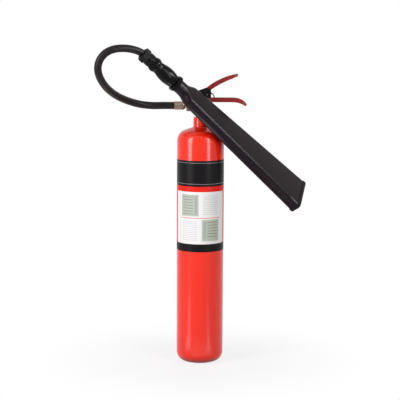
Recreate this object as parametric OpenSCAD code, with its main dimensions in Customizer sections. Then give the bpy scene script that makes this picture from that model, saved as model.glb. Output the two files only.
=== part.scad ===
// Portable carbon dioxide fire extinguisher: a steel bottle with a squeeze-grip valve,
// a swivelling hose and a hollow discharge horn.
// Millimetres, +Z up. The origin is the centre of the flat foot, on the floor.
// The hose leaves the valve towards -X, the levers point towards +X and the horn hangs in front, at -Y.

/* [Bottle] */
// Outside radius of the steel bottle
bottle_r = 70.5; // [68:0.5:72]
// Wall thickness of the bottle
bottle_wall = 5; // [4:0.5:7]
// Radius of the rounded corner between wall and foot
base_corner_r = 29; // [26:1:32]
// Height at which the wall starts to turn into the shoulder
shoulder_z = 675; // [668:1:680]
// Outside radius of the neck
neck_r = 22; // [20:0.5:24]
// Height of the top of the neck
neck_top_z = 745; // [742:0.5:746]

/* [Label] */
// Height of the label's lower edge
label_low_z = 346; // [330:1:360]
// Height of the label's upper edge
label_high_z = 620; // [600:1:640]
// How far the label wraps round the bottle, in degrees
label_wrap = 250; // [200:5:300]

/* [Valve] */
// Height of the hose outlet's axis
outlet_z = 779; // [778:0.5:780]
// Radius of the valve's barrel
barrel_r = 17; // [16:0.5:18]
// Height of the lever pivot
pivot_z = 812; // [811:0.5:813]
// How far the lever pivot lies behind the stem
pivot_offset = 12; // [11.5:0.5:12.5]
// How far the stem goes down when the lever is squeezed
stem_travel = 3.2; // [2.8:0.1:3.6]

/* [Levers] */
// Radius of the curve of the operating lever
lever_curve_r = 203; // [195:1:212]
// Depth of the operating lever's channel
lever_depth = 13; // [11:0.5:14]
// Width of the operating lever where the hand holds it
lever_w = 25; // [22:0.5:28]
// Length of the straight part of the carrying handle, from the stem
handle_straight = 96; // [88:1:98]
// Depth of the carrying handle's channel
handle_depth = 12.5; // [11:0.5:13.5]
// Thickness of the lever and handle metal
sheet_t = 2.2; // [1.8:0.1:2.6]

/* [Hose] */
// Outside radius of the hose
hose_r = 11; // [10:0.25:11.2]
// Radius of the hose's bore
hose_bore_r = 7; // [6.8:0.1:7.5]
// Outside radius of the crimped ferrules
ferrule_r = 12.5; // [12.2:0.1:12.8]

/* [Horn and grip] */
// Length of the horn in front of its collar
horn_length = 532; // [490:2:548]
// Wide side of the horn at the mouth
horn_mouth_w = 113; // [96:1:116]
// Narrow side of the horn at the mouth
horn_mouth_t = 37; // [36:1:42]
// Wide side of the horn at its root
horn_root_w = 65; // [60:1:70]
// Narrow side of the horn at its root
horn_root_t = 35; // [35:1:39]
// Wall thickness of the horn
horn_wall = 3; // [2.4:0.2:4]
// Greatest radius of the bulged grip
grip_r = 23.5; // [21:0.5:26]

/* [Hidden] */
$fn = 64;

// Small gap that keeps seated round faces from sharing one surface
seat_gap = 0.05;
// Clearance of pieces that turn or slide in each other
running_gap = 0.05;
// Overlap that lets cuts run past the faces they open
cut = 1;

// Bottle
shoulder_corner_r = 33;
shoulder_corner_end = 66;
dome_r = 150;
dome_wall = 8;
neck_fillet_r = 6;
neck_bore_r = 13;
neck_chamfer = 1.2;
seal_seat_r = 15.9;
seal_seat_depth = 2.6;
seal_r = 1.25;
base_t = 9;
base_corner_c = [bottle_r - base_corner_r, base_corner_r];
base_inner_r = base_corner_r - bottle_wall;
shoulder_c = [bottle_r - shoulder_corner_r, shoulder_z];
dome_c = shoulder_c - (dome_r - shoulder_corner_r) * [cos(shoulder_corner_end), sin(shoulder_corner_end)];
dome_end = acos((neck_r + neck_fillet_r - dome_c.x) / (dome_r + neck_fillet_r));
fillet_c = dome_c + (dome_r + neck_fillet_r) * [cos(dome_end), sin(dome_end)];
inner_dome_end = acos((neck_bore_r - dome_c.x) / (dome_r - dome_wall));
label_t = 0.3;
label_gap = 0.02;

// Valve body, upwards along the stem axis
shank_low_z = 716;
hex_low_z = 757;
hex_high_z = 769;
hex_af = 33;
chamber_r = 9;
seat_z = 772;
seat_r = 4.5;
gallery_top_z = 783;
stem_bore_r = 3.4;
gland_low_z = 786.5;
gland_r = 6;
fork_floor_z = 800;
fork_low_z = 790;
outlet_boss_r = 12.5;
outlet_shoulder_x = -22;
outlet_end_x = -34;
outlet_thread_r = 10.9;
outlet_bore_r = 4.5;
burst_z = 763;
burst_boss_r = 8.5;
burst_end_y = 24;
burst_bore_r = 3;
burst_seat_r = 6;
burst_seat_y = 18;

// Fork that carries the levers
pivot = [-pivot_offset, pivot_z];
pivot_r = 3;
fork_in_y = 9.4;
fork_out_y = 13.4;
fork_lug_r = 9.5;
fork_nose = [18.5, 820];
fork_nose_r = 12.5;
fork_back_x = -21.5;
fork_front_x = 30;
rivet_x = [16, 26];
rivet_z = 797;
rivet_r = 2.5;
pin_pos = [19, 812.5];
pin_r = 2.4;
pin_reach = 16;
pin_turn = 38;
pin_eye_y = 25;
pin_eye_r = 2.5;
pull_ring_r = 13;
pull_ring_wire_r = 1.6;

// Stem group
stem_r = 3;
nose_r = 5;
lift_gap = 0.3;
stem_top_z = pivot_z - nose_r - lift_gap;
poppet_r = 7;
poppet_low_z = 764;
poppet_high_z = 770;
seal_gap = 0.1;
guide_low_z = 752;
spring_low_z = 740.1;
spring_mean_r = 5.3;
spring_wire_r = 0.7;
spring_turns = 5;

// Operating lever
lever_start = [20, 835.3];
lever_start_slope = 37.7;
lever_tip_slope = 9.7;
lever_root_slope = 41;
lever_c = lever_start + lever_curve_r * [sin(lever_start_slope), -cos(lever_start_slope)];
lever_root_w = 2 * fork_in_y - 0.8;
lever_hub_r = 7.5;
lever_arm = [15.5, 822.5];
lever_arm_r = 6.6;
lever_wide_x = 37;
lever_tip_x = 98;
tip_taper = 0.45;
squeeze = asin(stem_travel / pivot_offset);

// Carrying handle
handle_low_z = 790.5;
handle_in_y = fork_out_y + 0.1;
handle_out_y = handle_in_y + sheet_t;
handle_back_x = 11;
handle_drop_r = 64;
handle_drop_angle = 36;
handle_bend = [handle_straight, handle_low_z - handle_drop_r];

// Hose run, valve end to grip end; the two end stretches are straight inside the ferrules
grip_start = [-163, -150, 933.5];
grip_dip = 130.2;
grip_yaw = 23.5;
grip_dir = [sin(grip_dip) * cos(grip_yaw), sin(grip_dip) * sin(grip_yaw), cos(grip_dip)];
hose_end_depth = 34;
hose_route = [
  [-52, 0, outlet_z], [-80, 0, outlet_z], [-112, 0, outlet_z], [-146, -5, 779], [-182, -21, 784],
  [-216, -52, 796], [-244, -91, 812], [-266, -129, 832], [-281, -161, 854], [-290, -184, 877],
  [-292, -198, 899], [-286, -204, 920], [-272, -204, 938], [-252, -200, 949], [-230, -191, 953],
  [-207, -179, 952], [-186, -165, 947],
  grip_start - 8 * grip_dir, grip_start + 10 * grip_dir, grip_start + hose_end_depth * grip_dir
];
hose_sides = 12;
hose_steps = 2;
tail_r = 6.5;
tail_bore_r = 4;
ferrule_bore_r = hose_r + 0.3;
tail_collar_r = 10.2;
tail_neck_r = 8;
nut_end_x = -43;
nut_shoulder_x = -40;
nut_af = 29;
washer_t = 1.5;
ferrule_end_x = -79;
ferrule_wall_x = -47;

// Grip and horn, along the grip axis from the hose side
grip_nut_low = -7;
grip_nut_high = 13;
grip_nut_af = 38;
grip_nut_chamfer = 6;
grip_neck_r = 18.8;
grip_ring_r = 22;
ferrule_room_r = 13.2;
ferrule_room_end = 38;
pipe_start = 40;
grip_end = 123;
collar_end = 135;
collar_af = 45;
collar_chamfer = 3;
collar_seat = 128;
pipe_r = 7;
pipe_bore_r = 4.5;
spigot_r = 17;
throat_r = 19.5;
throat_bore_r = 14;
horn_droop = 0.7;
horn_spin = 50;
horn_shoulder_start = 28;
horn_shoulder_end = 52;
horn_root_corner_r = 10;
horn_corner_r = 10;
lip_w = 2.6;
lip_start = 12;
lip_full = 7;
slice_t = 0.02;
throat_step = 0.6;
bell_gap = 0.05;
plate_inset = 1.3;
hollow_start = 23;
jet_start = 146;
jet_end = 168;
jet_holes = 4;

// Points of an arc in a plane
function arc(centre, radius, from, to, steps) =
  [for (i = [0:steps]) let (a = from + (to - from) * i / steps) centre + radius * [cos(a), sin(a)]];

// Point on a smooth curve through four neighbouring points, between the middle two
function curve_point(a, b, c, d, t) =
  0.5 * (2 * b + (c - a) * t + (2 * a - 5 * b + 4 * c - d) * t^2 + (3 * b - a - 3 * c + d) * t^3);

// A route with extra points on a smooth curve through its own points
function smooth_route(route, steps) =
  let (last = len(route) - 1)
  concat(
    [for (i = [0:last - 1]) for (s = [0:steps - 1])
      curve_point(route[max(i - 1, 0)], route[i], route[i + 1], route[min(i + 2, last)], s / steps)],
    [route[last]]
  );

// Profile points that swell from one radius to a greater one and back
function swelling(low_r, high_r, from, to, steps) =
  [for (i = [0:steps]) let (t = i / steps) [low_r + (high_r - low_r) * sin(180 * t), from + (to - from) * t]];

function unit(v) = v / norm(v);

// Direction of a route at one of its points
function heading(route, i) = unit(route[min(i + 1, len(route) - 1)] - route[max(i - 1, 0)]);

// Ring of points round a route's point, square to its direction
function ring_points(centre, dir, radius, sides) =
  let (side = unit(cross(dir, [0, 1, 0])), up = cross(side, dir))
  [for (k = [0:sides - 1]) centre + radius * (cos(360 * k / sides) * side + sin(360 * k / sides) * up)];

// Quads between ring a and ring b of a sweep, turned inside out where asked
function ring_quads(a, b, sides, inward) =
  [for (k = [0:sides - 1]) let (n = (k + 1) % sides)
    inward ? [a + n, a + k, b + k, b + n] : [a + k, a + n, b + n, b + k]];

// Closed tube along a route, hollow when bore_r is above zero
module swept_tube(route, outer_r, bore_r, sides) {
  rings = len(route);
  outer = [for (i = [0:rings - 1]) each ring_points(route[i], heading(route, i), outer_r, sides)];
  inner = bore_r > 0
    ? [for (i = [0:rings - 1]) each ring_points(route[i], heading(route, i), bore_r, sides)]
    : [];
  shift = rings * sides;
  last = (rings - 1) * sides;
  walls = [for (i = [0:rings - 2]) each ring_quads(i * sides, (i + 1) * sides, sides, false)];
  bore = bore_r > 0
    ? [for (i = [0:rings - 2]) each ring_quads(shift + i * sides, shift + (i + 1) * sides, sides, true)]
    : [];
  ends = bore_r > 0
    ? concat(ring_quads(shift, 0, sides, false), ring_quads(last, shift + last, sides, false))
    : [[for (k = [sides - 1:-1:0]) k], [for (k = [0:sides - 1]) last + k]];
  polyhedron(concat(outer, inner), concat(walls, bore, ends), convexity = 6);
}

// Turns a shape built along +Z so that it points along -X from the valve axis
module along_outlet() {
  translate([0, 0, outlet_z]) rotate([0, -90, 0]) children();
}

// Turns a shape built along +Z so that it points along +Y
module along_y(z) {
  translate([0, 0, z]) rotate([-90, 0, 0]) children();
}

// Places a side view drawn in x and z as a plate between two y positions
module side_plate(y_low, y_high) {
  translate([0, y_high, 0]) rotate([90, 0, 0]) linear_extrude(y_high - y_low) children();
}

// Round bar across the valve, at a place in the side view
module cross_bar(place, radius, y_low, y_high) {
  translate([place.x, y_low, place.y]) rotate([-90, 0, 0]) cylinder(r = radius, h = y_high - y_low);
}

// Ring with a rectangular section
module tube(radius, bore_r, low, high) {
  difference() {
    translate([0, 0, low]) cylinder(r = radius, h = high - low);
    translate([0, 0, low - cut]) cylinder(r = bore_r, h = high - low + 2 * cut);
  }
}

// Hexagon across its flats, with both rims chamfered
module hex_body(across_flats, low, high, chamfer) {
  corner_r = across_flats / sqrt(3);
  intersection() {
    translate([0, 0, low]) cylinder(r = corner_r, h = high - low, $fn = 6);
    rotate_extrude() polygon([
      [0, low], [corner_r - chamfer, low], [corner_r, low + chamfer * 0.6],
      [corner_r, high - chamfer * 0.6], [corner_r - chamfer, high], [0, high]
    ]);
  }
}

// Places a shape built along +Z on the grip axis
module on_grip() {
  translate(grip_start) rotate([0, grip_dip, grip_yaw]) children();
}

module bottle() {
  outside = concat(
    [[0, 0]],
    arc(base_corner_c, base_corner_r, -90, 0, 12),
    arc(shoulder_c, shoulder_corner_r, 0, shoulder_corner_end, 8),
    arc(dome_c, dome_r, shoulder_corner_end, dome_end, 4),
    arc(fillet_c, neck_fillet_r, dome_end + 180, 180, 6),
    [
      [neck_r, neck_top_z - neck_chamfer], [neck_r - neck_chamfer, neck_top_z], [seal_seat_r, neck_top_z],
      [seal_seat_r, neck_top_z - seal_seat_depth], [neck_bore_r, neck_top_z - seal_seat_depth]
    ]
  );
  inside = concat(
    arc(dome_c, dome_r - dome_wall, inner_dome_end, shoulder_corner_end, 6),
    arc(shoulder_c, shoulder_corner_r - bottle_wall, shoulder_corner_end, 0, 8),
    arc(base_corner_c, base_inner_r, 0, -asin((base_corner_r - base_t) / base_inner_r), 8),
    [[0, base_t]]
  );
  color("#d8281c") rotate_extrude($fn = 96) polygon(concat(outside, inside));
}

module label() {
  color("#e8e8e2")
    rotate([0, 0, -90 - label_wrap / 2])
      rotate_extrude(angle = label_wrap, $fn = 96)
        translate([bottle_r + label_gap, label_low_z])
          square([label_t, label_high_z - label_low_z]);
}

module dip_tube() {
  dip_low_z = 14;
  dip_high_z = 727;
  color("#b9bcc0") difference() {
    tube(6, 4.5, dip_low_z, dip_high_z);
    translate([0, 0, dip_low_z]) rotate([0, 35, 0]) translate([0, 0, -15]) cube(30, center = true);
  }
}

module siphon_adapter() {
  color("#b08d4a") difference() {
    translate([0, 0, 718]) cylinder(r = chamber_r - seat_gap, h = 22);
    translate([0, 0, 717]) cylinder(r = 6 + seat_gap, h = 11);
    translate([0, 0, 717]) cylinder(r = 3.5, h = 30);
  }
}

module neck_seal() {
  color("#1a1a1a") rotate_extrude()
    translate([seal_seat_r - seat_gap - seal_r, neck_top_z - seal_seat_depth + seal_r + seat_gap])
      circle(r = seal_r);
}

// Outline of one cheek of the fork, in the side view
module fork_outline() {
  hull() {
    translate(pivot) circle(r = fork_lug_r, $fn = 32);
    translate(fork_nose) circle(r = fork_nose_r, $fn = 32);
    translate([fork_back_x, fork_low_z]) square([fork_front_x - fork_back_x, 10]);
  }
}

module valve_body() {
  color("#26241f") difference() {
    union() {
      translate([0, 0, shank_low_z]) cylinder(r = neck_bore_r - seat_gap, h = hex_low_z - shank_low_z + cut);
      rotate([0, 0, 30]) hex_body(hex_af, hex_low_z, hex_high_z, 2);
      translate([0, 0, hex_high_z - cut]) cylinder(r = barrel_r, h = fork_low_z + 4 - hex_high_z + cut);
      along_outlet() cylinder(r = outlet_boss_r, h = -outlet_shoulder_x);
      along_outlet() cylinder(r = outlet_thread_r, h = -outlet_end_x);
      along_y(burst_z) cylinder(r = burst_boss_r, h = burst_end_y);
      difference() {
        side_plate(-fork_out_y, fork_out_y) fork_outline();
        translate([fork_back_x - cut, -fork_in_y, fork_floor_z]) cube([80, 2 * fork_in_y, 60]);
      }
    }
    translate([0, 0, shank_low_z - cut]) cylinder(r = chamber_r, h = seat_z - shank_low_z + cut);
    translate([0, 0, seat_z - cut]) cylinder(r = seat_r, h = gallery_top_z - seat_z + cut);
    translate([0, 0, seat_z]) cylinder(r = stem_bore_r, h = 40);
    translate([0, 0, gland_low_z]) cylinder(r = gland_r, h = 40);
    along_outlet() cylinder(r = outlet_bore_r, h = 60);
    along_y(burst_z) cylinder(r = burst_bore_r, h = 60);
    along_y(burst_z) translate([0, 0, burst_seat_y]) cylinder(r = burst_seat_r, h = 60);
    cross_bar(pivot, pivot_r + 0.02, -30, 30);
    cross_bar(pin_pos, pin_r + running_gap, -30, 30);
    for (x = rivet_x) cross_bar([x, rivet_z], rivet_r + seat_gap, -30, 30);
    along_handle_seat();
  }
}

// Room for the bottom of the carrying handle under the fork, outside the barrel
module along_handle_seat() {
  seat_top_z = handle_low_z + sheet_t + seat_gap;
  difference() {
    translate([handle_back_x - 0.3, -40, fork_low_z - cut]) cube([50, 80, seat_top_z - fork_low_z + cut]);
    translate([0, 0, fork_low_z - 2 * cut]) cylinder(r = barrel_r + 0.1, h = 20);
  }
}

module burst_disc() {
  color("#c9c3b4") along_y(burst_z) translate([0, 0, burst_seat_y + 0.02])
    cylinder(r = burst_seat_r - 0.2, h = 0.6);
}

module burst_disc_plug() {
  plug_low = burst_seat_y + 0.66;
  color("#b08d4a") along_y(burst_z) difference() {
    union() {
      translate([0, 0, plug_low]) cylinder(r = burst_seat_r - seat_gap, h = burst_end_y - plug_low + 0.5);
      translate([0, 0, burst_end_y + 0.05]) intersection() {
        hex_body(17, 0, 8, 1.2);
        cylinder(r = 9.4, h = 8);
      }
    }
    translate([0, 0, plug_low - cut]) cylinder(r = 2.5, h = 12);
    for (a = [0, 90])
      translate([0, 0, burst_end_y + 4.5]) rotate([0, 90, a]) cylinder(r = 1.3, h = 30, center = true);
  }
}

module gland_nut() {
  color("#b08d4a") difference() {
    union() {
      translate([0, 0, 790]) cylinder(r = gland_r - seat_gap, h = fork_floor_z - 790 + 0.5);
      hex_body(14, fork_floor_z, fork_floor_z + 3, 0.8);
    }
    translate([0, 0, 780]) cylinder(r = stem_r + running_gap, h = 40);
  }
}

module gland_seal() {
  color("#1a1a1a") rotate_extrude() translate([4.6, 788.2]) circle(r = 1.3);
}

module valve_stem() {
  color("#c8c8c8") union() {
    translate([0, 0, poppet_high_z]) cylinder(r = stem_r, h = stem_top_z - poppet_high_z - 1);
    translate([0, 0, stem_top_z - 1]) cylinder(r1 = stem_r, r2 = stem_r - 0.8, h = 1);
  }
}

module valve_poppet() {
  color("#b08d4a") union() {
    translate([0, 0, poppet_low_z]) cylinder(r = poppet_r, h = poppet_high_z - poppet_low_z);
    translate([0, 0, guide_low_z]) cylinder(r = 3, h = poppet_low_z - guide_low_z);
  }
}

module poppet_seal() {
  color("#e9e6dc") tube(6.2, stem_r + seat_gap, poppet_high_z, seat_z - seal_gap);
}

module valve_spring() {
  low = spring_low_z + spring_wire_r;
  high = poppet_low_z - spring_wire_r - seal_gap;
  steps = 16 * spring_turns;
  coil = [for (i = [0:steps]) let (a = 360 * spring_turns * i / steps)
    [spring_mean_r * cos(a), spring_mean_r * sin(a), low + (high - low) * i / steps]];
  color("#a9adb2") swept_spring(coil);
}

// Wire along a coil about Z
module swept_spring(coil) {
  sides = 8;
  rings = len(coil);
  points = [for (p = coil) let (out = unit([p.x, p.y, 0]))
    for (k = [0:sides - 1]) p + spring_wire_r * (cos(360 * k / sides) * out + [0, 0, sin(360 * k / sides)])];
  walls = [for (i = [0:rings - 2]) each ring_quads(i * sides, (i + 1) * sides, sides, true)];
  ends = [[for (k = [0:sides - 1]) k], [for (k = [sides - 1:-1:0]) (rings - 1) * sides + k]];
  polyhedron(points, concat(walls, ends), convexity = 10);
}

// Side view of the carrying handle, whose flanges get shallower towards the tip
module handle_outline() {
  steps = 10;
  flanges = [for (i = [steps:-1:0])
    let (a = 90 - handle_drop_angle * i / steps, depth = handle_depth * (1 - tip_taper * (i / steps)^3))
    handle_bend + (handle_drop_r + depth) * [cos(a), sin(a)]];
  polygon(concat(
    [[handle_back_x, handle_low_z]],
    arc(handle_bend, handle_drop_r, 90, 90 - handle_drop_angle, steps),
    flanges,
    [[handle_back_x, handle_low_z + handle_depth]]
  ));
}

// Side view of the handle's inside, to past the tip
module handle_inside() {
  tip_turn = 90 - handle_drop_angle - 3;
  polygon(concat(
    [[handle_back_x, handle_low_z + sheet_t]],
    arc(handle_bend, handle_drop_r + sheet_t, 90, tip_turn, 10),
    arc(handle_bend, handle_drop_r + handle_depth + 20, tip_turn, 90, 10),
    [[handle_back_x, handle_low_z + handle_depth + 20]]
  ));
}

module carry_handle() {
  tip_r = handle_out_y + 0.5;
  tip_stretch = 1.15;
  reach_x = handle_straight + (handle_drop_r + handle_depth * (1 - tip_taper)) * sin(handle_drop_angle);
  tip_x = reach_x + 1.5 - tip_stretch * tip_r;
  tip_arc = [for (p = arc([0, 0], tip_r, -90, 90, 18)) [tip_x + tip_stretch * p.x, p.y]];
  color("#9c2a26") difference() {
    intersection() {
      side_plate(-handle_out_y, handle_out_y) handle_outline();
      translate([0, 0, handle_low_z - 60]) linear_extrude(120)
        polygon(concat([[0, -tip_r]], tip_arc, [[0, tip_r]]));
    }
    intersection() {
      side_plate(-handle_in_y, handle_in_y) handle_inside();
      translate([0, 0, handle_low_z - 60]) linear_extrude(120) tip_room(tip_x, handle_in_y, tip_stretch);
    }
    translate([0, 0, handle_low_z - cut]) cylinder(r = barrel_r + 0.3, h = 30);
    for (x = rivet_x) cross_bar([x, rivet_z], rivet_r + seat_gap, -30, 30);
  }
}

module handle_rivets() {
  head_t = 1.4;
  color("#b4b4b4") for (x = rivet_x) {
    cross_bar([x, rivet_z], rivet_r, -handle_out_y, handle_out_y);
    cross_bar([x, rivet_z], rivet_r + 1.6, handle_out_y + 0.02, handle_out_y + head_t);
    cross_bar([x, rivet_z], rivet_r + 1.6, -handle_out_y - head_t, -handle_out_y - 0.02);
    cross_bar([x, rivet_z], rivet_r, -handle_out_y - 0.5, handle_out_y + 0.5);
  }
}

module lever_pivot_pin() {
  head_t = 2;
  color("#b4b4b4") {
    cross_bar(pivot, pivot_r, -fork_out_y - 0.5, fork_out_y + 0.5);
    cross_bar(pivot, pivot_r + 1.8, fork_out_y + 0.02, fork_out_y + head_t);
    cross_bar(pivot, pivot_r + 1.8, -fork_out_y - head_t, -fork_out_y - 0.02);
  }
}

// Side view of the lever's curved channel, whose flanges get shallower towards the tip
module lever_outline() {
  steps = 16;
  slopes = [for (i = [0:steps]) lever_root_slope + (lever_tip_slope - lever_root_slope) * i / steps];
  flanges = [for (i = [steps:-1:0]) let (depth = lever_depth * (1 - tip_taper * (i / steps)^4))
    lever_c + (lever_curve_r - depth) * [cos(90 + slopes[i]), sin(90 + slopes[i])]];
  polygon(concat(arc(lever_c, lever_curve_r, 90 + lever_root_slope, 90 + lever_tip_slope, steps), flanges));
}

// Side view of the lever's inside, from a slope near its root to past the tip
module lever_inside(root_slope) {
  tip_slope = lever_tip_slope - 1;
  polygon(concat(
    arc(lever_c, lever_curve_r - sheet_t, 90 + root_slope, 90 + tip_slope, 16),
    arc(lever_c, lever_curve_r - lever_depth - 5, 90 + tip_slope, 90 + root_slope, 16)
  ));
}

module operating_lever() {
  half_root = lever_root_w / 2;
  half_w = lever_w / 2;
  color("#9c2a26") difference() {
    union() {
      side_plate(-half_root, half_root) hull() {
        translate(pivot) circle(r = lever_hub_r, $fn = 32);
        translate(lever_arm) circle(r = lever_arm_r, $fn = 32);
      }
      side_plate(-6, 6) translate([0, pivot_z]) circle(r = nose_r);
      intersection() {
        side_plate(-half_w, half_w) lever_outline();
        translate([0, 0, pivot_z - 30]) linear_extrude(120) lever_plan(half_root, half_w);
      }
    }
    intersection() {
      union() {
        side_plate(sheet_t - half_root, half_root - sheet_t) lever_inside(36);
        side_plate(sheet_t - half_w, half_w - sheet_t) lever_inside(27);
      }
      translate([0, 0, pivot_z - 30]) linear_extrude(120) tip_room(lever_tip_x, half_w - sheet_t, 1);
    }
    cross_bar(pivot, pivot_r + running_gap, -30, 30);
    pin_slot();
  }
}

// Plan view of the lever, narrow in the fork and wide in the hand
module lever_plan(half_root, half_w) {
  union() {
    translate([-40, -half_root]) square([80, 2 * half_root]);
    translate([lever_wide_x, -half_w]) square([lever_tip_x - lever_wide_x, 2 * half_w]);
    translate([lever_tip_x, 0]) circle(r = half_w);
  }
}

// Plan view of a channel's inside, which ends in a round before the tip
module tip_room(tip_x, radius, stretch) {
  end = [for (p = arc([0, 0], radius, -90, 90, 18)) [tip_x + stretch * p.x, p.y]];
  polygon(concat([[-60, -radius - 10], [tip_x, -radius - 10]], end, [[tip_x, radius + 10], [-60, radius + 10]]));
}

// Slot in the lever that clears the safety pin over the whole squeeze
module pin_slot() {
  slot_r = pin_r + 0.5;
  arm = pin_pos - pivot;
  for (a = [-6:2:squeeze + 1])
    cross_bar(pivot + [cos(a) * arm.x - sin(a) * arm.y, sin(a) * arm.x + cos(a) * arm.y], slot_r, -30, 30);
}

// Places a shape at the safety pin's eye, turned about the pin so that the ring leans to the front
module on_pin_eye() {
  translate([pin_pos.x, pin_eye_y, pin_pos.y]) rotate([0, -pin_turn, 0]) children();
}

module safety_pin() {
  eye_t = 3;
  color("#c8c8c8") difference() {
    union() {
      cross_bar(pin_pos, pin_r, -pin_reach, pin_eye_y);
      cross_bar(pin_pos, pin_r + 1.4, fork_out_y + 0.3, fork_out_y + 1.8);
      on_pin_eye() rotate([0, 90, 0]) cylinder(r = pin_eye_r + 2.2, h = eye_t, center = true);
    }
    on_pin_eye() rotate([0, 90, 0]) cylinder(r = pin_eye_r, h = eye_t + 2 * cut, center = true);
  }
}

module pull_ring() {
  color("#242223") on_pin_eye() translate([0, 0, -pull_ring_r]) rotate([90, 0, 0])
    rotate_extrude() translate([pull_ring_r, 0]) circle(r = pull_ring_wire_r, $fn = 32);
}

module union_nut() {
  color("#a8744f") along_outlet() difference() {
    hex_body(nut_af, -outlet_shoulder_x + 0.5, -nut_end_x, 2);
    cylinder(r = outlet_thread_r + seat_gap, h = -nut_shoulder_x);
    cylinder(r = tail_neck_r + running_gap, h = 60);
  }
}

module hose_washer() {
  color("#8d2f23") along_outlet() tube(10, 5.5, -outlet_end_x + 0.02, -outlet_end_x + washer_t);
}

module hose_tail() {
  collar_low = -outlet_end_x + washer_t + 0.1;
  color("#a8744f") along_outlet() difference() {
    union() {
      translate([0, 0, collar_low]) cylinder(r = tail_collar_r, h = -nut_shoulder_x - 0.1 - collar_low);
      translate([0, 0, collar_low]) cylinder(r = tail_neck_r, h = -ferrule_wall_x - 0.02 - collar_low);
      translate([0, 0, collar_low]) cylinder(r = tail_r, h = -ferrule_end_x - collar_low);
    }
    cylinder(r = tail_bore_r, h = 100);
  }
}

module valve_end_ferrule() {
  wall_t = 3;
  color("#a8744f") along_outlet() difference() {
    translate([0, 0, -ferrule_wall_x]) rotate_extrude() polygon([
      [tail_r + seat_gap, 0], [ferrule_r - 3, 0], [ferrule_r, 5],
      [ferrule_r, ferrule_wall_x - ferrule_end_x - 1], [ferrule_r - 1, ferrule_wall_x - ferrule_end_x],
      [ferrule_bore_r, ferrule_wall_x - ferrule_end_x], [ferrule_bore_r, wall_t], [tail_r + seat_gap, wall_t]
    ]);
    for (groove = [12, 19, 26]) translate([0, 0, -ferrule_wall_x + groove]) rotate_extrude()
      translate([ferrule_r + 0.6, 0]) circle(r = 1.2, $fn = 32);
  }
}

module hose() {
  color("#222021") swept_tube(smooth_route(hose_route, hose_steps), hose_r, hose_bore_r, hose_sides);
}

module horn_end_ferrule() {
  color("#2c2a2b") on_grip() tube(ferrule_r, ferrule_bore_r, -4, 30);
}

module horn_end_tail() {
  color("#a8744f") on_grip() difference() {
    union() {
      translate([0, 0, 4]) cylinder(r = tail_r, h = pipe_start - 4);
      translate([0, 0, hose_end_depth + 0.1]) cylinder(r = ferrule_r, h = pipe_start - hose_end_depth - 2.2);
    }
    cylinder(r = tail_bore_r, h = 60);
  }
}

module grip_nut() {
  color("#2b282a") on_grip() difference() {
    hex_body(grip_nut_af, grip_nut_low, grip_nut_high, grip_nut_chamfer);
    translate([0, 0, grip_nut_low - cut]) cylinder(r = ferrule_room_r, h = 40);
  }
}

module horn_grip() {
  ring_low = 33;
  ring_high = 54;
  bulge_low = 60;
  rib_z = [17, 22, 27];
  rib_r = 1.6;
  color("#2b282a") on_grip() difference() {
    union() {
      rotate_extrude() polygon(concat(
        [[0, grip_nut_high], [grip_neck_r - 1, grip_nut_high], [grip_neck_r - 0.5, ring_low - 2]],
        swelling(grip_neck_r, grip_ring_r, ring_low, ring_high, 8),
        swelling(grip_neck_r, grip_r, bulge_low, grip_end, 16),
        [[0, grip_end]]
      ));
      for (z = rib_z) rotate_extrude() translate([grip_neck_r - 0.9, z]) circle(r = rib_r, $fn = 32);
    }
    cylinder(r = ferrule_room_r, h = ferrule_room_end);
    cylinder(r = pipe_r + seat_gap, h = grip_end + cut);
  }
}

module horn_collar() {
  color("#2b282a") on_grip() difference() {
    rotate([0, 0, 30]) hex_body(collar_af, grip_end, collar_end, collar_chamfer);
    translate([0, 0, grip_end - cut]) cylinder(r = pipe_r + seat_gap, h = 60);
    translate([0, 0, collar_seat]) cylinder(r = spigot_r + seat_gap, h = 60);
  }
}

module discharge_pipe() {
  color("#8e9196") on_grip() tube(pipe_r, pipe_bore_r, pipe_start, jet_start);
}

module discharge_jet() {
  color("#b08d4a") on_grip() difference() {
    union() {
      translate([0, 0, jet_start]) cylinder(r = 9, h = 12);
      translate([0, 0, jet_start + 12]) cylinder(r1 = 9, r2 = 6, h = jet_end - jet_start - 12);
    }
    translate([0, 0, jet_start - cut]) cylinder(r = 4, h = 15);
    for (k = [0:jet_holes - 1]) rotate([0, 0, 360 * k / jet_holes + 45])
      translate([2.6, 0, jet_start]) cylinder(r = 0.9, h = 60);
  }
}

// Thin round slice of the horn
module round_slice(z, radius) {
  translate([0, 0, z]) cylinder(r = radius, h = slice_t, $fn = 32);
}

// Thin slice of the horn: four corner discs of a rounded rectangle
module horn_slice(z, w, t, corner) {
  for (x = [-1, 1]) for (y = [-1, 1])
    translate([x * (t / 2 - corner), y * (w / 2 - corner), 0]) round_slice(z, corner);
}

// Places a shape built along +Z on the horn's own axis, in front of the collar
module on_horn() {
  translate([0, 0, collar_end]) rotate([0, horn_droop, 0]) rotate([0, 0, horn_spin]) children();
}

// Outside of the horn's round throat and flat shoulder
module throat_outside() {
  translate([0, 0, 1]) cylinder(r = throat_r, h = horn_shoulder_start - 1 + slice_t);
  hull() {
    round_slice(horn_shoulder_start, throat_r + throat_step);
    horn_slice(horn_shoulder_end, horn_root_w, horn_root_t, horn_root_corner_r);
  }
}

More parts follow.
